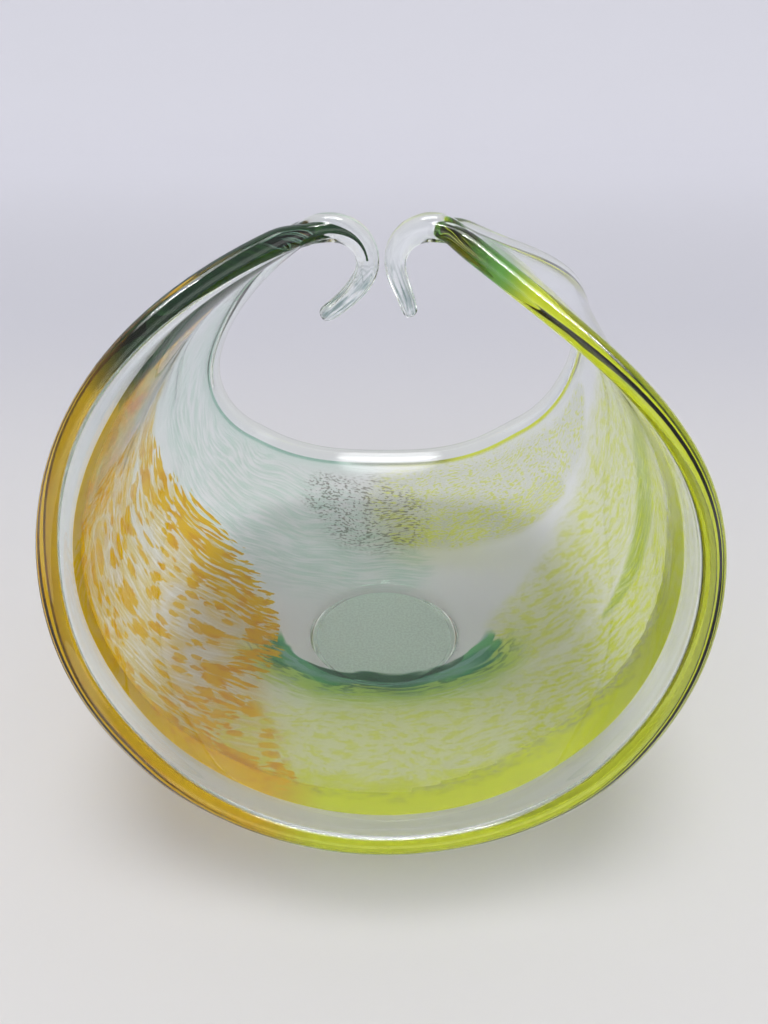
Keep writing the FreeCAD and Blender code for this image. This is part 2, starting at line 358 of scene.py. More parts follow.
class Guide:
    """A smooth curve through points at given distances along the strip."""

    def __init__(self, stations, points):
        self.at = np.array(stations, dtype=float)
        self.points = np.array(points, dtype=float)
        self.slopes = self.find_slopes()

    def find_slopes(self):
        at, points = self.at, self.points
        step = np.diff(at)
        count = len(at)
        matrix = np.zeros((count, count))
        wanted = np.zeros_like(points)
        for i in range(1, count - 1):
            before, after = step[i - 1], step[i]
            matrix[i, i - 1:i + 2] = (after, 2.0 * (before + after), before)
            rise_before = (points[i] - points[i - 1]) / before
            rise_after = (points[i + 1] - points[i]) / after
            wanted[i] = 3.0 * (after * rise_before + before * rise_after)
        for row, near in ((0, slice(0, 4)), (count - 1, slice(-4, None))):
            matrix[row, row] = 1.0
            wanted[row] = np.polyfit(at[near] - at[row], points[near], 3)[2]
        return np.linalg.solve(matrix, wanted)

    def span(self, at):
        i = int(np.clip(np.searchsorted(self.at, at) - 1, 0, len(self.at) - 2))
        width = self.at[i + 1] - self.at[i]
        return i, width, (at - self.at[i]) / width

    def value(self, at):
        i, width, t = self.span(at)
        return (
            self.points[i] * (2 * t ** 3 - 3 * t ** 2 + 1)
            + self.slopes[i] * width * (t ** 3 - 2 * t ** 2 + t)
            + self.points[i + 1] * (3 * t ** 2 - 2 * t ** 3)
            + self.slopes[i + 1] * width * (t ** 3 - t ** 2)
        )

    def slope(self, at):
        i, width, t = self.span(at)
        return (
            (self.points[i + 1] - self.points[i]) * (6 * t - 6 * t ** 2) / width
            + self.slopes[i] * (3 * t ** 2 - 4 * t + 1)
            + self.slopes[i + 1] * (3 * t ** 2 - 2 * t)
        )


def horn_rows(size, side):
    """The horn's centre line: a quarter turn from its crest, a turn past it, and a drop."""
    names = [f"{side}_{part}" for part in ("centre", "curl", "turn", "drop")]
    centre_x, curl, turn, drop = [getattr(size, name) for name in names]
    centre_z = size.horn_height - curl
    quarter = math.pi / 2.0
    rows = []
    for angle in (0.0, quarter / 2.0, quarter, quarter + turn):
        rows.append((centre_x - curl * math.sin(angle), centre_z + curl * math.cos(angle)))
    end_x, end_z = rows[-1]
    rows.append((end_x + drop * math.sin(turn), end_z - drop * math.cos(turn)))
    return [(x, z, half, half, 0.0, 0.0) for (x, z), half in zip(rows, HORN_HALF_WIDTHS)]


def side_rows(size, side, shares):
    """One side: wall middle, lips out and lip rises, from the foot to the tip."""
    floor = size.base_thickness - size.wall / 2.0
    rows = []
    for reach, height, front, back, front_rise, back_rise in shares:
        rows.append((
            reach * size.side_reach,
            floor + height * (size.horn_height - floor),
            front * size.front_reach,
            back * size.back_reach,
            front_rise * size.lobe_rise,
            back_rise * size.lobe_rise,
        ))
    return rows + horn_rows(size, side)


class Sheet:
    """The middle of the glass: a strip that follows the C of the sides, lip to lip across."""

    def __init__(self, size):
        self.size = size
        floor = size.base_thickness - size.wall / 2.0
        left = side_rows(size, "left", LEFT_SIDE)
        right = side_rows(size, "right", RIGHT_SIDE)
        middle = [(0.0, floor, size.front_reach, size.back_reach, size.lobe_rise, size.lobe_rise)]
        rows = [(-row[0],) + row[1:] for row in reversed(left)] + middle + right
        at = [0.0]
        for last, row in zip(rows, rows[1:]):
            at.append(at[-1] + math.hypot(row[0] - last[0], row[1] - last[1]))
        self.spine = Guide(at, [(row[0], -size.foot_back, row[1]) for row in rows])
        self.reach = Guide(at, [row[2:4] for row in rows])
        self.rise = Guide(at, [row[4:6] for row in rows])
        self.foot = at[len(left)]
        self.left_root = at[len(left) - len(LEFT_SIDE)]
        self.right_root = at[len(left) + len(RIGHT_SIDE)]
        self.length = at[-1]

    def centre(self, at):
        return Vector(self.spine.value(at))

    def inward(self, at):
        """Across the wall, towards the inside of the C."""
        along = self.spine.slope(at)
        return Vector((-along[2], 0.0, along[0])).normalized()

    def reaches(self, at):
        """How far the front and the back lip are out, never less than a thin strip."""
        front, back = self.reach.value(at)
        return max(float(front), THINNEST), max(float(back), THINNEST)

    def half_width(self, at):
        return sum(self.reaches(at)) / 2.0

    def point(self, at, share):
        """A point of the sheet; share runs from -1 at the front lip to 1 at the back lip."""
        side = 0 if share < 0.0 else 1
        out = self.reaches(at)[side]
        lift = float(self.rise.value(at)[side])
        return self.centre(at) + ACROSS * (share * out) + self.inward(at) * (lift * share ** 2)

    def along(self, at, share):
        start = max(at - 0.5 * MM, 0.0)
        end = min(at + 0.5 * MM, self.length)
        return (self.point(end, share) - self.point(start, share)).normalized()

    def normal(self, at, share):
        """Square to the sheet, towards the inside of the bowl."""
        across = self.point(at, min(share + 0.02, 1.0)) - self.point(at, max(share - 0.02, -1.0))
        return self.along(at, share).cross(across).normalized()

    def ring_stations(self):
        """Where the rings stand, closer together along the horns."""
        ends = (
            (0.0, self.left_root, HORN_RINGS),
            (self.left_root, self.foot, SIDE_RINGS),
            (self.foot, self.right_root, SIDE_RINGS),
            (self.right_root, self.length, HORN_RINGS),
        )
        stations = []
        for start, end, count in ends:
            stations += [start + (end - start) * i / count for i in range(count)]
        return stations + [self.length]


def edge_radius(sheet, at):
    """Radius of the lip, which thickens into the rod of the horn and thins to its tip."""
    from_tip = min(at, sheet.length - at)
    horn = sheet.left_root if at < sheet.foot else sheet.length - sheet.right_root
    lip = sheet.size.lip_diameter / 2.0
    rod = sheet.size.rod_diameter / 2.0
    tip = sheet.size.tip_diameter / 2.0
    thick = lip + (rod - lip) * smooth_step(2.0 * horn, 0.8 * horn, from_tip)
    return tip + (thick - tip) * smooth_step(-0.1 * horn, 0.6 * horn, from_tip)


def half_wall(sheet, at):
    """Half the wall, which fills in to the rod where the two lips meet."""
    half = sheet.size.wall / 2.0
    rod_share = smooth_step(sheet.size.web_width, 0.0, 2.0 * sheet.half_width(at))
    return half + (edge_radius(sheet, at) - half) * rod_share


def cage_radius(radius, step):
    """Where the points of a round cage stand, so that the smoothed skin has the radius."""
    return radius * 3.0 / (2.0 + math.cos(step))


def lip_points(sheet, at, share, radius):
    """The rounded lip, from the outside of the wall over the edge to the inside."""
    centre = sheet.point(at, share)
    normal = sheet.normal(at, share)
    outward = normal.cross(sheet.along(at, share)).normalized() * share
    reach = cage_radius(radius, math.radians(LIP_ANGLES[1] - LIP_ANGLES[0]))
    points = []
    for angle in LIP_ANGLES:
        turn = math.radians(angle)
        points.append(centre + (outward * math.cos(turn) + normal * math.sin(turn)) * reach)
    return points


def strap_points(sheet, at):
    """One ring of the cage: outer wall, back lip, inner wall and front lip."""
    half = half_wall(sheet, at)
    radius = edge_radius(sheet, at)
    inset = min(radius / max(sheet.half_width(at), radius), 0.9)
    shares = [-share for share in reversed(WALL_STEPS[1:])] + list(WALL_STEPS)
    outer = []
    inner = []
    for share in shares:
        share *= 1.0 - inset
        middle = sheet.point(at, share)
        normal = sheet.normal(at, share)
        outer.append(middle - normal * half)
        inner.append(middle + normal * half)
    back = lip_points(sheet, at, 1.0, radius)
    front = lip_points(sheet, at, -1.0, radius)
    return outer + back + inner[::-1] + front[::-1]


def rod_points(sheet, at, count, radius):
    """A round ring of the cage, starting with the outer wall's first point."""
    centre = sheet.centre(at)
    inward = sheet.inward(at)
    step = 2.0 * math.pi / count
    reach = cage_radius(radius, step)
    first = -math.pi / 2.0 - step * (len(WALL_STEPS) - 1)
    depth = RIDGE_DEPTH * smooth_step(*RIDGE_REACH, min(at, sheet.length - at))
    points = []
    for place in range(count):
        turn = first + step * place
        out = reach * (1.0 + depth * math.cos(RIDGES * turn + RIDGE_TWIST * at))
        points.append(centre + (ACROSS * math.cos(turn) + inward * math.sin(turn)) * out)
    return points


def cage_ring(sheet, at):
    """A ring of the cage: a strap with round edges that becomes a rod along the horn."""
    strap = strap_points(sheet, at)
    width = sheet.half_width(at)
    rod = rod_points(sheet, at, len(strap), edge_radius(sheet, at) + width * 0.25)
    share = smooth_step(*ROD_BLEND, width)
    return [flat.lerp(round_one, share) for flat, round_one in zip(strap, rod)]


def tip_rings(sheet, at, heading):
    """Rings that close a horn to a rounded tip."""
    count = 2 * (2 * len(WALL_STEPS) - 1) + 2 * len(LIP_ANGLES)
    radius = edge_radius(sheet, at)
    rings = []
    for ahead, share in TIP_CAPS:
        ring = rod_points(sheet, at, count, radius * share)
        rings.append([point + heading * (radius * ahead) for point in ring])
    return rings


def bowl_rings(sheet):
    """All rings of the cage, from the left tip to the right tip."""
    rings = [cage_ring(sheet, at) for at in sheet.ring_stations()]
    left_way = -sheet.along(0.0, 0.0)
    right_way = sheet.along(sheet.length, 0.0)
    left_tip = tip_rings(sheet, 0.0, left_way)[::-1]
    return left_tip + rings + tip_rings(sheet, sheet.length, right_way)


# Helpers for modelling

def select_only(piece):
    bpy.ops.object.select_all(action="DESELECT")
    piece.select_set(True)
    bpy.context.view_layer.objects.active = piece


def grid_of(name, rows, closed):
    """A grid primitive with its points placed row by row; closed joins the ends of each row."""
    rows = [row + row[:1] for row in rows] if closed else rows
    bpy.ops.object.select_all(action="DESELECT")
    bpy.ops.mesh.primitive_grid_add(
        x_subdivisions=len(rows[0]) - 1, y_subdivisions=len(rows) - 1, size=1.0
    )
    piece = bpy.context.active_object
    piece.name = name
    piece.data.name = name
    places = [value for row in rows for point in row for value in point]
    if len(places) != 3 * len(piece.data.vertices):
        raise RuntimeError(f"{name}: the grid has {len(piece.data.vertices)} points")
    piece.data.vertices.foreach_set("co", places)
    piece.data.update()
    return piece


def tube_of(name, rings):
    """A closed, capped tube through the rings."""
    piece = grid_of(name, rings, True)
    bpy.ops.object.mode_set(mode="EDIT")
    bpy.ops.mesh.select_all(action="SELECT")
    bpy.ops.mesh.remove_doubles(threshold=1e-6)
    bpy.ops.mesh.select_all(action="DESELECT")
    bpy.ops.mesh.select_non_manifold()
    bpy.ops.mesh.fill_holes(sides=0)
    bpy.ops.mesh.select_all(action="SELECT")
    bpy.ops.mesh.normals_make_consistent(inside=False)
    bpy.ops.object.mode_set(mode="OBJECT")
    return piece


def modify(piece, kind, **settings):
    """Adds a modifier to the piece and keeps its result."""
    select_only(piece)
    modifier = piece.modifiers.new(kind.title(), kind)
    for name, value in settings.items():
        setattr(modifier, name, value)
    bpy.ops.object.modifier_apply(modifier=modifier.name)


def coat(piece, *materials):
    """Gives the piece these materials and no other."""
    piece.data.materials.clear()
    for material in materials:
        piece.data.materials.append(material)


# Painting

def fade(values, start, end):
    """Falls from 1 at start to 0 at end, level at both ends."""
    share = np.clip((values - end) / (start - end), 0.0, 1.0)
    return share * share * (3.0 - 2.0 * share)


def stroke(u, v, line):
    """A soft brush stroke along the line; each point has its half width."""
    mask = np.zeros_like(u)
    for (u0, v0, w0), (u1, v1, w1) in zip(line, line[1:]):
        du, dv = u1 - u0, v1 - v0
        t = np.clip(((u - u0) * du + (v - v0) * dv) / (du * du + dv * dv), 0.0, 1.0)
        away = np.hypot(u - u0 - t * du, v - v0 - t * dv) / (w0 + (w1 - w0) * t)
        mask = np.maximum(mask, fade(away, 0.6, 1.3))
    return mask


def strokes(u, v, lines):
    """The thickest of several strokes, each with its level."""
    return np.max([level * stroke(u, v, line) for level, line in lines], axis=0)


# Materials

class Nodes:
    """Adds nodes to a tree and links them, so that a material reads as a list of steps."""

    def __init__(self, tree):
        self.tree = tree

    def add(self, kind, settings=None, **values):
        node = self.tree.nodes.new(kind)
        for name, value in (settings or {}).items():
            setattr(node, name, value)
        return self.fill(node, **values)

    def fill(self, node, **values):
        """Gives inputs their links, numbers or colours. i0 stands for the node's first input."""
        for name, value in values.items():
            numbered = name[0] == "i" and name[1:].isdigit()
            socket = node.inputs[int(name[1:]) if numbered else name.replace("_", " ")]
            if isinstance(value, bpy.types.NodeSocket):
                self.tree.links.new(value, socket)
            elif socket.type == "RGBA":
                socket.default_value = (*value, 1.0)
            else:
                socket.default_value = value
        return node

    def math(self, operation, first, second=0.0):
        node = self.add("ShaderNodeMath", {"operation": operation}, i0=first, i1=second)
        return node.outputs[0]

    def scaled(self, value, factor, base):
        """The value times the factor, plus the base."""
        node = self.add("ShaderNodeMath", {"operation": "MULTIPLY_ADD"}, i0=value, i1=factor, i2=base)
        return node.outputs[0]

    def fold(self, operation, values):
        result = values[0]
        for value in values[1:]:
            result = self.math(operation, result, value)
        return result

    def product(self, *values):
        return self.fold("MULTIPLY", values)

    def most(self, *values):
        return self.fold("MAXIMUM", values)

    def steps(self, value, low, high):
        """0 at low, 1 at high, smooth between. Low may be more than high."""
        node = self.add("ShaderNodeMapRange", {"interpolation_type": "SMOOTHSTEP"}, Value=value)
        return self.fill(node, From_Min=low, From_Max=high).outputs[0]

    def blend(self, share, first, second):
        """The first colour where share is 0, and the second where it is 1."""
        node = self.add("ShaderNodeMix", {"data_type": "RGBA"}, i0=share, i6=first, i7=second)
        return node.outputs[2]

    def choice(self, share, first, second):
        """The same for numbers."""
        node = self.add("ShaderNodeMix", {"data_type": "FLOAT"}, i0=share, i2=first, i3=second)
        return node.outputs[0]

    def place(self):
        return self.add("ShaderNodeTexCoord").outputs["Object"]

    def parts(self, vector):
        return self.add("ShaderNodeSeparateXYZ", None, Vector=vector).outputs

    def noise(self, vector, scale, detail):
        node = self.add("ShaderNodeTexNoise", None, Vector=vector, Scale=scale, Detail=detail)
        return node.outputs["Fac"]

    def bump(self, height, strength, distance):
        node = self.add("ShaderNodeBump", None, Height=height, Strength=strength, Distance=distance)
        return node.outputs[0]


def new_material(name):
    material = bpy.data.materials.new(name)
    material.use_nodes = True
    return material, Nodes(material.node_tree), material.node_tree.nodes["Principled BSDF"]


def clear_glass(name, colours):
    """Fire polished glass, with the faint waves that blowing leaves on it."""
    material, nodes, shader = new_material(name)
    waves = nodes.noise(nodes.place(), WAVE_SCALE, 0.0)
    nodes.fill(
        shader, Base_Color=colours.clear, Roughness=0.0, Transmission_Weight=1.0, IOR=GLASS_IOR,
        Normal=nodes.bump(waves, 1.0, WAVE_HEIGHT),
    )
    return material, nodes, shader


def shade_streaked_tips(colours, size):
    """The same glass with grey streaks along the tips of the horns: painted shade lines, like the
    dark lines that the ridges of the rods show.
    """
    material, nodes, shader = clear_glass("shade_streaked_tips", colours)
    place = nodes.place()
    sides = []
    for turn in (size.left_turn, -size.right_turn):
        along = nodes.add("ShaderNodeMapping", {"vector_type": "TEXTURE"}, Vector=place,
                          Rotation=(0.0, turn, 0.0), Scale=(1.0, 1.0, STREAK_LENGTH)).outputs[0]
        sides.append(nodes.steps(nodes.noise(along, STREAK_SCALE, 2.0), *STREAK_LEVELS))
    across, _, height = nodes.parts(place)
    streaks = nodes.choice(nodes.math("GREATER_THAN", across), *sides)
    below_crest = [size.horn_height - drop for drop in STREAK_DROPS]
    # Painted shade: grey lines in the glass's tint along the tips, just below the crest
    share = nodes.math("MULTIPLY", streaks, nodes.steps(height, *below_crest))
    nodes.fill(shader, Base_Color=nodes.blend(share, colours.clear, TIP_SHADE_STREAK))
    return material


def ground_glass(colours):
    """The fine grain of a face ground flat."""
    material, nodes, shader = new_material("ground_face")
    grain = nodes.noise(nodes.place(), GRAIN_SCALE, 3.0)
    dark = [DARK_GRAIN_AND_SHADE * value for value in colours.ground]
    rough = nodes.add("ShaderNodeMapRange", None, Value=grain, To_Min=0.7, To_Max=0.9).outputs[0]
    nodes.fill(
        shader, Base_Color=nodes.blend(nodes.steps(grain, 0.35, 0.65), dark, colours.ground),
        Roughness=rough, Normal=nodes.bump(grain, 0.4, GRAIN_HEIGHT),
    )
    return material


def pale_table(table):
    """A pale table that darkens with distance to a painted shade at the foot of the backdrop, then
    turns to the backdrop's grey.
    """
    material, nodes, shader = new_material("pale_table")
    depth = nodes.parts(nodes.place())["Y"]
    # Painted shade: the table is darkened towards the foot of the backdrop, where less light falls
    painted_shade_at_wall_foot = [DARK_GRAIN_AND_SHADE * value for value in table.wall]
    near = nodes.blend(nodes.steps(depth, *TABLE_TURNS), table.table, painted_shade_at_wall_foot)
    far = nodes.blend(nodes.steps(depth, *WALL_TURNS), near, table.wall)
    nodes.fill(shader, Base_Color=far, Roughness=0.75)
    return material


def lay_over_group():
    """Lays one pigment over what is below it: colours and how much each covers."""
    group = bpy.data.node_groups.new("lay_over", "ShaderNodeTree")
    for name, kind in (("Below", "NodeSocketColor"), ("Below Cover", "NodeSocketFloat"),
                       ("Pigment", "NodeSocketColor"), ("Cover", "NodeSocketFloat")):
        group.interface.new_socket(name, in_out="INPUT", socket_type=kind)
    group.interface.new_socket("Colour", in_out="OUTPUT", socket_type="NodeSocketColor")
    group.interface.new_socket("Cover", in_out="OUTPUT", socket_type="NodeSocketFloat")
    nodes = Nodes(group)
    given = nodes.add("NodeGroupInput").outputs
    left = nodes.math("SUBTRACT", 1.0, given["Cover"])
    under = nodes.math("MULTIPLY", given["Below Cover"], left)
    cover = nodes.math("ADD", given["Cover"], under)
    share = nodes.math("DIVIDE", given["Cover"], nodes.math("MAXIMUM", cover, LEAST_COVER))
    colour = nodes.blend(share, given["Below"], given["Pigment"])
    nodes.add("NodeGroupOutput", None, Colour=colour, Cover=cover)
    return group


class Frit(Nodes):
    """The pigments of the colour layer. Each method gives a colour and how much of it covers."""

    def __init__(self, tree, colours):
        super().__init__(tree)
        self.colours = colours
        self.flow = self.swirled("flow", *FLOW_DRIFT)
        self.round = self.swirled("round", *ROUND_DRIFT)
        self.along = {name: self.strands(self.flow, *row) for name, row in FLOW_STRANDS.items()}
        self.around = {name: self.strands(self.round, *row) for name, row in ROUND_STRANDS.items()}
        self.from_front = self.painted("from_front")
        self.from_back = self.painted("from_back")
        self.past_amber = self.painted("past_amber")
        self.ring = self.parts(self.round)["Y"]

    def painted(self, name):
        """The mask of that name that is laid on the piece's points."""
        return self.add("ShaderNodeAttribute", {"attribute_name": name}).outputs["Fac"]

    def swirled(self, name, scale, strength):
        """A flow map of the layer, drifted a little so that its strands aren't straight."""
        place = self.add("ShaderNodeUVMap", {"uv_map": name}).outputs[0]
        drift = self.add(
            "ShaderNodeTexNoise", {"noise_dimensions": "2D"}, Vector=place, Scale=scale, Detail=0.0
        ).outputs["Color"]
        centred = self.add(
            "ShaderNodeVectorMath", {"operation": "SUBTRACT"}, i0=drift, i1=(0.5, 0.5, 0.5)
        ).outputs[0]
        return self.add(
            "ShaderNodeVectorMath", {"operation": "MULTIPLY_ADD"}, i0=centred, i1=strength, i2=place
        ).outputs[0]

    def drawn_out(self, place, stretch):
        """The map squeezed along the flow, so that what is laid on it is drawn out."""
        return self.add("ShaderNodeMapping", None, Vector=place, Scale=(stretch, 1.0, 1.0)).outputs[0]

    def strands(self, place, stretch, scale, detail):
        return self.add(
            "ShaderNodeTexNoise", {"noise_dimensions": "2D"},
            Vector=self.drawn_out(place, stretch), Scale=scale, Detail=detail,
        ).outputs["Fac"]

    def shifted(self, value, noise, amount):
        """The value, moved up and down by the noise."""
        return self.scaled(noise, amount, self.math("SUBTRACT", value, 0.5 * amount))

    def blobs(self, scale, stretch, radius, spread):
        """Round grains, some large and some small, that shrink to nothing outside the amber."""
        cells = self.add(
            "ShaderNodeTexVoronoi", {"feature": "F1", "voronoi_dimensions": "2D"},
            Vector=self.drawn_out(self.flow, stretch), Scale=scale, Randomness=1.0,
        )
        dice = self.add("ShaderNodeSeparateColor", None, i0=cells.outputs["Color"]).outputs[0]
        least = self.scaled(self.painted("amber_field"), BLOB_LOSS, radius - BLOB_LOSS)
        size = self.scaled(dice, spread, least)
        edge = self.shifted(cells.outputs["Distance"], self.along["dash"], 0.25)
        return self.steps(self.math("SUBTRACT", size, edge), 0.0, 0.09)

    def combed(self, mask, start, end, cover):
        """The mask, broken up by the hairs."""
        return self.product(self.painted(mask), self.steps(self.along["hair"], start, end), cover)

    def lip_line(self, mask, width, cover):
        """A thread of colour along the back edge of the layer."""
        return self.product(self.steps(self.from_back, *width), self.painted(mask), cover)

    def mint(self):
        haze = self.combed("mint", 0.30, 0.70, 0.42)
        line = self.lip_line("mint_line", (0.035, 0.01), 0.75)
        glow = self.lip_line("mint_line", (0.14, 0.0), 0.3)
        return self.blend(line, self.colours.mint, MINT_LINE), self.most(haze, line, glow)

    def cream(self):
        mask = self.painted("cream")
        inside = self.steps(self.past_amber, 0.03, -0.10)
        strands = self.product(mask, self.steps(self.along["hair"], 0.28, 0.58), inside)
        cover = self.scaled(strands, 0.6, self.math("MULTIPLY", mask, 0.22))
        clouds = self.product(self.steps(self.along["cloud"], 0.34, 0.58), 0.8)
        near_front = self.product(self.steps(self.from_front, 0.60, 0.15), 0.85)
        return self.blend(self.most(clouds, near_front), self.colours.cream, WARM_CREAM), cover

    def lime(self):
        patches = self.steps(self.shifted(self.along["grit"], self.along["dash"], 0.4), 0.34, 0.72)
        pale = [own + (white - own) * PALE_LIME for own, white in zip(self.colours.lime, LIME_WHITE)]
        cover = self.product(self.painted("lime"), self.scaled(patches, 0.34, 0.50))
        return self.blend(patches, pale, self.colours.lime), cover

    def lime_edge(self):
        """The thick lime along the front edge, which turns green at the root of the horn."""
        ragged = self.shifted(self.from_front, self.along["mottle"], 0.16)
        depth = self.math("SUBTRACT", ragged, self.painted("edge_reach"))
        edge = self.product(self.steps(depth, 0.11, -0.10), self.painted("lime_edge"), 0.97)
        line = self.lip_line("lime_line", (0.035, 0.008), 0.9)
        colour = self.blend(self.painted("root"), self.colours.lime, ROOT_GREEN)
        return colour, self.most(edge, line)

    def leaf(self):
        lit = self.steps(self.along["hair"], 0.5, 0.8)
        colour = self.blend(lit, self.colours.leaf, self.colours.lime)
        return colour, self.combed("leaf", 0.1, 0.6, 0.75)

    def stipple(self):
        """Short lime dashes in a haze, inside the back wall."""
        mask = self.painted("stipple")
        fibres = self.shifted(self.along["fibre"], self.along["mottle"], 0.5)
        grain = self.steps(self.shifted(fibres, mask, 0.18), 0.48, 0.66)
        dashes = self.product(grain, self.steps(mask, 0.0, 0.7), 0.6)
        cover = self.most(self.product(mask, 0.42), dashes)
        return self.blend(grain, STIPPLE_HAZE, self.colours.lime), cover

    def smoke(self):
        """Grey brown specks in clumps."""
        mask = self.painted("smoke")
        clumps = self.steps(self.along["mottle"], 0.38, 0.62)
        grain = self.steps(self.shifted(self.along["speck"], clumps, 0.14), 0.55, 0.64)
        line = self.lip_line("smoke_line", (0.03, 0.008), 0.8)
        cover = self.most(self.product(grain, mask, 0.55), self.product(mask, 0.04), line)
        return self.blend(line, self.colours.smoke, SMOKE_LINE), cover

    def grass(self):
        """Green and lime hairs that stand out from the collar."""
        hairs = self.around["hair"]
        outer = self.steps(self.shifted(self.ring, hairs, 0.16), 0.54, 0.40)
        inner = self.steps(self.ring, 0.34, 0.37)
        dark = self.product(self.steps(hairs, 0.48, 0.60), self.steps(self.ring, 0.52, 0.36), 0.85)
        cover = self.product(outer, inner, self.painted("collar"), 0.9)
        return self.blend(dark, GRASS_PALE, GRASS_DARK), cover

    def collar(self):
        """A dark crescent against the foot, with blue grey wisps and green around it. The crescent is
        dark green frit, painted darker as shade in the fold at the foot's edge.
        """
        wisps, wide = self.around["wisp"], self.around["wide"]
        mask = self.painted("collar")
        inner = self.steps(self.shifted(self.ring, wide, 0.10), 0.285, 0.305)
        taper = self.math("MULTIPLY", self.math("SUBTRACT", 1.0, mask), 0.09)
        reach = self.math("ADD", self.shifted(self.ring, wisps, 0.07), taper)
        outer = self.steps(reach, 0.395, 0.372)
        green = self.blend(self.steps(wide, 0.4, 0.62), COLLAR_DEEP, COLLAR_LIGHT)
        pale = self.most(self.steps(wisps, 0.53, 0.62), self.painted("wisp"))
        body = self.blend(self.math("MULTIPLY", pale, 0.8), green, COLLAR_WISP)
        # The crescent hugs the edge of the foot: dark green frit with the painted shade of the fold
        # there
        thick = self.painted("crescent")
        past = self.math("SUBTRACT", self.math("ADD", thick, FOOT_RING), self.ring)
        crescent = self.product(self.steps(past, 0.0, 0.004), self.steps(thick, 0.0, 0.01))
        cover = self.product(inner, outer, self.steps(mask, 0.0, 0.3), 0.94)
        return self.blend(crescent, body, COLLAR_CRESCENT), cover

    def amber(self):
        """Drawn streaks that end in points past the line, and round grains inside it."""
        streak = self.along["streak"]
        thick = self.steps(self.shifted(streak, self.painted("amber"), 0.50), 0.60, 0.66)
        points = self.steps(self.shifted(self.past_amber, streak, -0.85), 0.015, -0.02)
        small = self.math("MULTIPLY", self.blobs(19.0, 0.45, 0.04, 0.40), 0.85)
        grains = self.most(self.blobs(9.0, 0.62, 0.06, 0.42), small)
        inside = self.product(self.painted("amber_field"), self.steps(self.past_amber, -0.05, -0.14))
        band = self.steps(self.shifted(self.from_front, streak, 0.10), 0.145, 0.11)
        cover = self.most(
            self.product(thick, points), self.product(grains, inside),
            self.product(band, self.painted("amber_edge")),
        )
        body = self.blend(self.steps(self.along["mottle"], 0.45, 0.7), self.colours.amber, AMBER_DEEP)
        bright = self.product(self.steps(self.from_front, 0.12, 0.0), 0.8)
        return self.blend(bright, body, AMBER_RIM), self.math("MULTIPLY", cover, 0.99)

    def olive(self):
        colour = self.blend(self.steps(self.along["streak"], 0.5, 0.62), OLIVE, OLIVE_WARM)
        return colour, self.combed("olive", 0.15, 0.5, 0.8)

    def rope(self):
        """The dark green that the left horn is drawn from."""
        mask, hair = self.painted("rope"), self.along["hair"]
        cover = self.product(mask, self.steps(self.shifted(mask, hair, 0.6), 0.25, 0.5))
        return self.blend(self.steps(hair, 0.45, 0.62), self.colours.green, ROPE_LIT), cover

    def pigments(self):
        """From the lowest to the topmost."""
        return (self.mint(), self.cream(), self.lime(), self.lime_edge(), self.leaf(), self.stipple(),
                self.smoke(), self.grass(), self.collar(), self.amber(), self.olive(), self.rope())


def frit_layer(colours, name, clearness):
    """Frit, haze and threads between the two clear coats, laid one over the other."""
    material, _, shader = new_material(name)
    lay_over = bpy.data.node_groups.get("lay_over") or lay_over_group()
    frit = Frit(material.node_tree, colours)
    colour, cover = WHITE, 0.0
    for pigment, share in frit.pigments():
        step = frit.add("ShaderNodeGroup", {"node_tree": lay_over}, Below=colour, Below_Cover=cover,
                        Pigment=pigment, Cover=share)
        colour, cover = step.outputs["Colour"], step.outputs["Cover"]
    frit.fill(
        shader, Base_Color=colour, Alpha=frit.math("MULTIPLY", cover, frit.painted("ending")),
        Roughness=0.0, Specular_IOR_Level=0.0, Transmission_Weight=clearness, IOR=1.0,
    )
    return material


# Pieces

class BOWL_OT_casing(bpy.types.Operator):
    """Blow the clear casing: the strap with round lips, the two horns and the foot"""
    bl_idname = "bowl.casing"
    bl_label = "Clear Casing"

    def execute(self, context):
        size = context.scene.bowl_shape
        colours = context.scene.bowl_colours
        sheet = Sheet(size)
        casing = tube_of("glass_casing", bowl_rings(sheet))
        modify(casing, "SUBSURF", levels=2, render_levels=2)
        foot = self.make_foot(size)
        modify(casing, "BOOLEAN", operation="UNION", solver="EXACT", object=foot)
        bpy.data.objects.remove(foot, do_unlink=True)
        clear = clear_glass("clear_casing", colours)[0]
        coat(casing, clear, ground_glass(colours), shade_streaked_tips(colours, size))
        lowest, highest = TIP_HEIGHTS
        for face in casing.data.polygons:
            ground = face.center.z < GROUND_LEVEL and face.normal.z < GROUND_FACING
            height = face.center.z / size.horn_height
            tip = abs(face.center.x) < TIP_REACH and lowest < height < highest
            face.material_index = 1 if ground else 2 if tip else 0
        bpy.ops.object.shade_smooth_by_angle(angle=SHARP_ANGLE)
        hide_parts(NODE)
        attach(casing, BODY)
        return {"FINISHED"}

    def make_foot(self, size):
        """The pad under the middle: ground flat below, and flowing into the wall around it."""
        ground = size.foot_diameter / 2.0
        spread = size.foot_spread / 2.0
        floor = size.base_thickness - size.wall / 2.0
        reach = (size.front_reach + size.back_reach) / 2.0
        meeting = floor + size.lobe_rise * (spread / reach) ** 2
        bend_radius = ground + SKIRT_REACH * (spread - ground)
        bend_level = SKIRT_LEVEL * meeting
        rings = []
        for step in range(FOOT_RINGS + 1):
            t = step / FOOT_RINGS
            radius = ground * (1 - t) ** 2 + 2 * bend_radius * t * (1 - t) + spread * t ** 2
            level = 2 * bend_level * t * (1 - t) + meeting * t ** 2
            rings.append(self.circle(radius, level))
        rings.append(self.circle(FOOT_TOP * spread, floor + FOOT_TOP * (meeting - floor)))
        return tube_of("foot", rings)

    def circle(self, radius, level):
        points = []
        for place in range(FOOT_SEGMENTS):
            turn = 2.0 * math.pi * place / FOOT_SEGMENTS
            points.append((radius * math.cos(turn), radius * math.sin(turn), level))
        return points


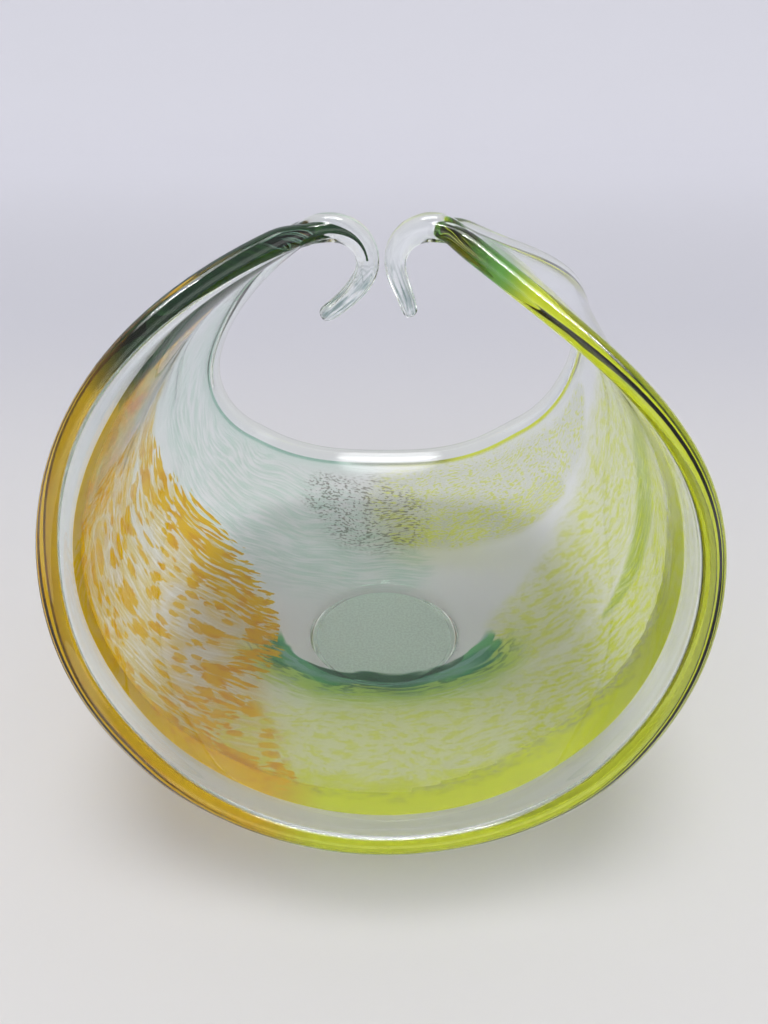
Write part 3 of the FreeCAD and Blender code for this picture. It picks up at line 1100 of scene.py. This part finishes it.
class BOWL_OT_colour(bpy.types.Operator):
    """Lay the frit and the threads of colour between the two clear coats"""
    bl_idname = "bowl.colour"
    bl_label = "Colour Layer"

    def execute(self, context):
        colours = context.scene.bowl_colours
        sheet = Sheet(context.scene.bowl_shape)
        start = sheet.foot + LAYER_ENDS[0] * MM
        end = sheet.foot + LAYER_ENDS[1] * MM
        gaps = Guide([row[0] for row in CLEAR_BAND], [row[1:] for row in CLEAR_BAND])
        stations, half_widths, depths = np.array(ROPE).T
        rows = []
        flow = []
        for i in range(LAYER_ROWS + 1):
            at = start + (end - start) * i / LAYER_ROWS
            along = (at - sheet.foot) / MM
            rope = np.interp(along, stations, half_widths) * MM
            sunk = np.interp(along, stations, depths) * MM
            front, back = sheet.reaches(at)
            front_gap, back_gap = gaps.value(along) * MM
            front_out = max(front - front_gap, rope)
            back_out = max(back - back_gap, rope)
            row = []
            for j in range(LAYER_STEPS + 1):
                out = -front_out + (front_out + back_out) * j / LAYER_STEPS
                share = out / (front if out < 0.0 else back)
                row.append(sheet.point(at, share) + sheet.inward(at) * sunk)
                flow.append((along, out / MM, (out + front_out) / MM, (back_out - out) / MM))
            rows.append(row)
        layer = grid_of("colour_layer", rows, False)
        self.paint(layer, np.array(flow))
        modify(layer, "SOLIDIFY", thickness=LAYER_THICKNESS * MM, offset=0.0)
        thin = frit_layer(colours, "thin_colour", THIN_CLEARNESS)
        coat(layer, thin, frit_layer(colours, "dense_colour", 0.0))
        dense = layer.data.attributes["dense"].data
        for face in layer.data.polygons:
            face.material_index = int(dense[face.vertices[0]].value > 0.5)
        bpy.ops.object.shade_smooth_by_angle(angle=SHARP_ANGLE)
        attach(layer, BODY)
        return {"FINISHED"}

    def paint(self, layer, flow):
        """Lays the masks of the pigments and the two flow maps on the layer's points."""
        u, v, from_front, from_back = flow.T
        past_edge = v - np.interp(u, *np.array(AMBER_EDGE).T, right=-200)
        past_end = u - np.interp(-v, *np.array(AMBER_END).T)
        behind = v > FRONT_START
        past_amber = np.where(behind, past_edge, past_end)
        field = np.where(behind, fade(past_edge, -4, 2), fade(past_end, -20, 24))
        lean = u / COLLAR_STRETCH
        rise = v - COLLAR_MIDDLE
        ring = np.hypot(lean, rise)
        turn = np.arctan2(lean, -rise)
        half_length, thickness = CRESCENT
        crescent = thickness * np.sqrt(np.clip(1 - (u / half_length) ** 2, 0, 1))
        horn_rope = fade(u, -240, -216) * fade(from_front, 5, 14)
        step = np.arange(len(u)) % (LAYER_STEPS + 1)
        dense_edge = step < np.interp(u, *np.array(DENSE_STEPS).T)
        dense_horn = (u < DENSE_HORNS[0]) | (u > DENSE_HORNS[1])
        masks = {
            "amber": strokes(u, v, AMBER_STROKES),
            "amber_field": field,
            "amber_edge": fade(u, -52, -20) * fade(-u, 240, 275),
            "cream": field * fade(-u, 225, 262) * fade(u, -62, -30),
            "lime": strokes(u, v, LIME_STROKES),
            "lime_edge": fade(-u, 20, 75),
            "edge_reach": np.interp(u, *np.array(EDGE_REACH).T),
            "lime_line": fade(-u, -30, 20),
            "root": fade(-u, -282, -268),
            "ending": fade(u, 282, 293),
            "leaf": stroke(u, v, LEAF_STROKE),
            "stipple": strokes(u, v, STIPPLE_STROKES),
            "smoke": stroke(u, v, SMOKE_STROKE),
            "smoke_line": fade(u, 24, 60) * fade(-u, 10, 30),
            "mint": stroke(u, v, MINT_STROKE),
            "mint_line": fade(u, -20, 10),
            "collar": fade(v, -24, 3) * fade(np.abs(u), 56, 76),
            "crescent": crescent / FLOW_UNIT,
            "wisp": fade(np.abs(ring - WISP_RING), 0.8, 2.2) * fade(np.abs(u), 36, 50),
            "olive": stroke(u, v, OLIVE_STROKE),
            "rope": np.maximum(stroke(u, v, ROPE_STROKE), horn_rope),
            "past_amber": past_amber / FLOW_UNIT,
            "dense": dense_edge | dense_horn,
            "from_front": from_front / FLOW_UNIT,
            "from_back": from_back / FLOW_UNIT,
        }
        for name, values in masks.items():
            mask = layer.data.attributes.new(name, "FLOAT", "POINT")
            mask.data.foreach_set("value", values.astype(np.float32))
        self.lay_flow(layer, "flow", np.stack([u, v], axis=1) / FLOW_UNIT)
        self.lay_flow(layer, "round", np.stack([turn * COLLAR_RADIUS, ring], axis=1) / FLOW_UNIT)

    def lay_flow(self, layer, name, places):
        points = np.zeros(len(layer.data.loops), dtype=np.int32)
        layer.data.loops.foreach_get("vertex_index", points)
        flow_map = layer.data.uv_layers.new(name=name)
        flow_map.uv.foreach_set("vector", places[points].astype(np.float32).ravel())


class BOWL_OT_stage(bpy.types.Operator):
    """Lay the pale table and backdrop, light them softly and place the camera"""
    bl_idname = "bowl.stage"
    bl_label = "Table, Light and Camera"

    def execute(self, context):
        table = context.scene.bowl_table
        self.place_camera(context)
        self.lay_table(table)
        self.light(context, table)
        return {"FINISHED"}

    def place_camera(self, context):
        bpy.ops.object.camera_add(location=CAMERA_PLACE, rotation=(CAMERA_TILT, 0.0, 0.0))
        camera = context.active_object
        camera.name = "photo_camera"
        camera.data.lens = CAMERA_LENS
        camera.data.clip_start = CAMERA_NEAREST
        context.scene.camera = camera

    def lay_table(self, table):
        """A plane whose back edge is drawn up in a bend, and on up as the backdrop."""
        bpy.ops.object.select_all(action="DESELECT")
        bpy.ops.mesh.primitive_plane_add(size=TABLE_SIZE, location=(0.0, 0.0, TABLE_LEVEL))
        floor = bpy.context.active_object
        floor.name = "table_and_backdrop"
        bpy.ops.object.mode_set(mode="EDIT")
        bpy.ops.mesh.select_all(action="DESELECT")
        bpy.ops.object.mode_set(mode="OBJECT")
        for edge in floor.data.edges:
            edge.select = all(floor.data.vertices[i].co.y > 0.0 for i in edge.vertices)
        bpy.ops.object.mode_set(mode="EDIT")
        bpy.ops.mesh.select_mode(type="EDGE")
        bpy.ops.transform.translate(value=(0.0, -TABLE_CUT, 0.0))
        for rise in range(BEND_STEPS):
            turn = math.radians(90.0 * (rise + 0.5) / BEND_STEPS)
            step = (0.0, BEND_STEP * math.cos(turn), BEND_STEP * math.sin(turn))
            bpy.ops.mesh.extrude_region_move(TRANSFORM_OT_translate={"value": step})
        up = (0.0, 0.0, BACKDROP_HEIGHT)
        bpy.ops.mesh.extrude_region_move(TRANSFORM_OT_translate={"value": up})
        bpy.ops.object.mode_set(mode="OBJECT")
        bpy.ops.object.shade_smooth()
        coat(floor, pale_table(table))

    def light(self, context, table):
        self.light_sky(context, table)
        bpy.ops.object.light_add(type="AREA", location=PANEL_PLACE)
        lamp = context.active_object
        lamp.name = "panel_lamp"
        lamp.data.shape = "RECTANGLE"
        lamp.data.size, lamp.data.size_y = PANEL_SIZE
        lamp.data.energy = table.panel
        lamp.visible_diffuse = False
        lamp.visible_transmission = False
        self.keep_off_table(lamp.data)
        context.scene.view_settings.view_transform = "Standard"
        context.scene.cycles.max_bounces = TURNS_IN_GLASS
        context.scene.cycles.transmission_bounces = TURNS_IN_GLASS
        context.scene.cycles.transparent_max_bounces = CLEAR_PASSES

    def light_sky(self, context, table):
        """A soft light all round, with a bright cap overhead and a glow low in front."""
        world = bpy.data.worlds.new("soft_room")
        world.use_nodes = True
        context.scene.world = world
        nodes = Nodes(world.node_tree)
        way = nodes.parts(nodes.add("ShaderNodeTexCoord").outputs["Generated"])
        cap = nodes.math("MULTIPLY", nodes.steps(way["Z"], *CAP_HEIGHTS), SKY_CAP)
        low = nodes.product(
            nodes.steps(way["Z"], *GLOW_HEIGHTS), nodes.steps(way["Y"], *GLOW_DEPTHS), SKY_GLOW
        )
        glow = nodes.math("ADD", nodes.math("ADD", cap, SKY_BASE), low)
        seen = nodes.add("ShaderNodeLightPath").outputs["Is Camera Ray"]
        strength = nodes.choice(seen, nodes.math("MULTIPLY", glow, table.sky), SKY_SEEN)
        nodes.fill(world.node_tree.nodes["Background"], Color=WHITE, Strength=strength)

    def keep_off_table(self, lamp):
        """The panel shows as a highlight only, and throws no bright patch on the table."""
        lamp.use_nodes = True
        nodes = Nodes(lamp.node_tree)
        depth = nodes.add("ShaderNodeLightPath").outputs["Diffuse Depth"]
        strength = nodes.math("LESS_THAN", depth, 0.5)
        nodes.fill(lamp.node_tree.nodes["Emission"], Strength=strength)


class BOWL_PT_panel(bpy.types.Panel):
    """Lists the sizes, the colours and the steps"""
    bl_label = "Glass Bowl"
    bl_idname = "BOWL_PT_panel"
    bl_space_type = "VIEW_3D"
    bl_region_type = "UI"
    bl_category = "Glass Bowl"

    def draw(self, context):
        for group in GROUPS:
            settings = getattr(context.scene, group)
            box = self.layout.box()
            for name in type(settings).__annotations__:
                box.prop(settings, name)
        for step in STEPS:
            self.layout.operator(step.bl_idname)


STEPS = (BOWL_OT_stage, BOWL_OT_casing, BOWL_OT_colour)
GROUPS = {"bowl_shape": BowlShape, "bowl_colours": BowlColours, "bowl_table": BowlTable}
CLASSES = (*GROUPS.values(), *STEPS, BOWL_PT_panel)


def register():
    for cls in CLASSES:
        bpy.utils.register_class(cls)
    for name, group in GROUPS.items():
        setattr(bpy.types.Scene, name, PointerProperty(type=group))


def unregister():
    for name in GROUPS:
        delattr(bpy.types.Scene, name)
    for cls in reversed(CLASSES):
        bpy.utils.unregister_class(cls)


def main():
    register()
    bpy.ops.bowl.stage()
    bpy.ops.bowl.casing()
    bpy.ops.bowl.colour()


if __name__ == "__main__":
    main()
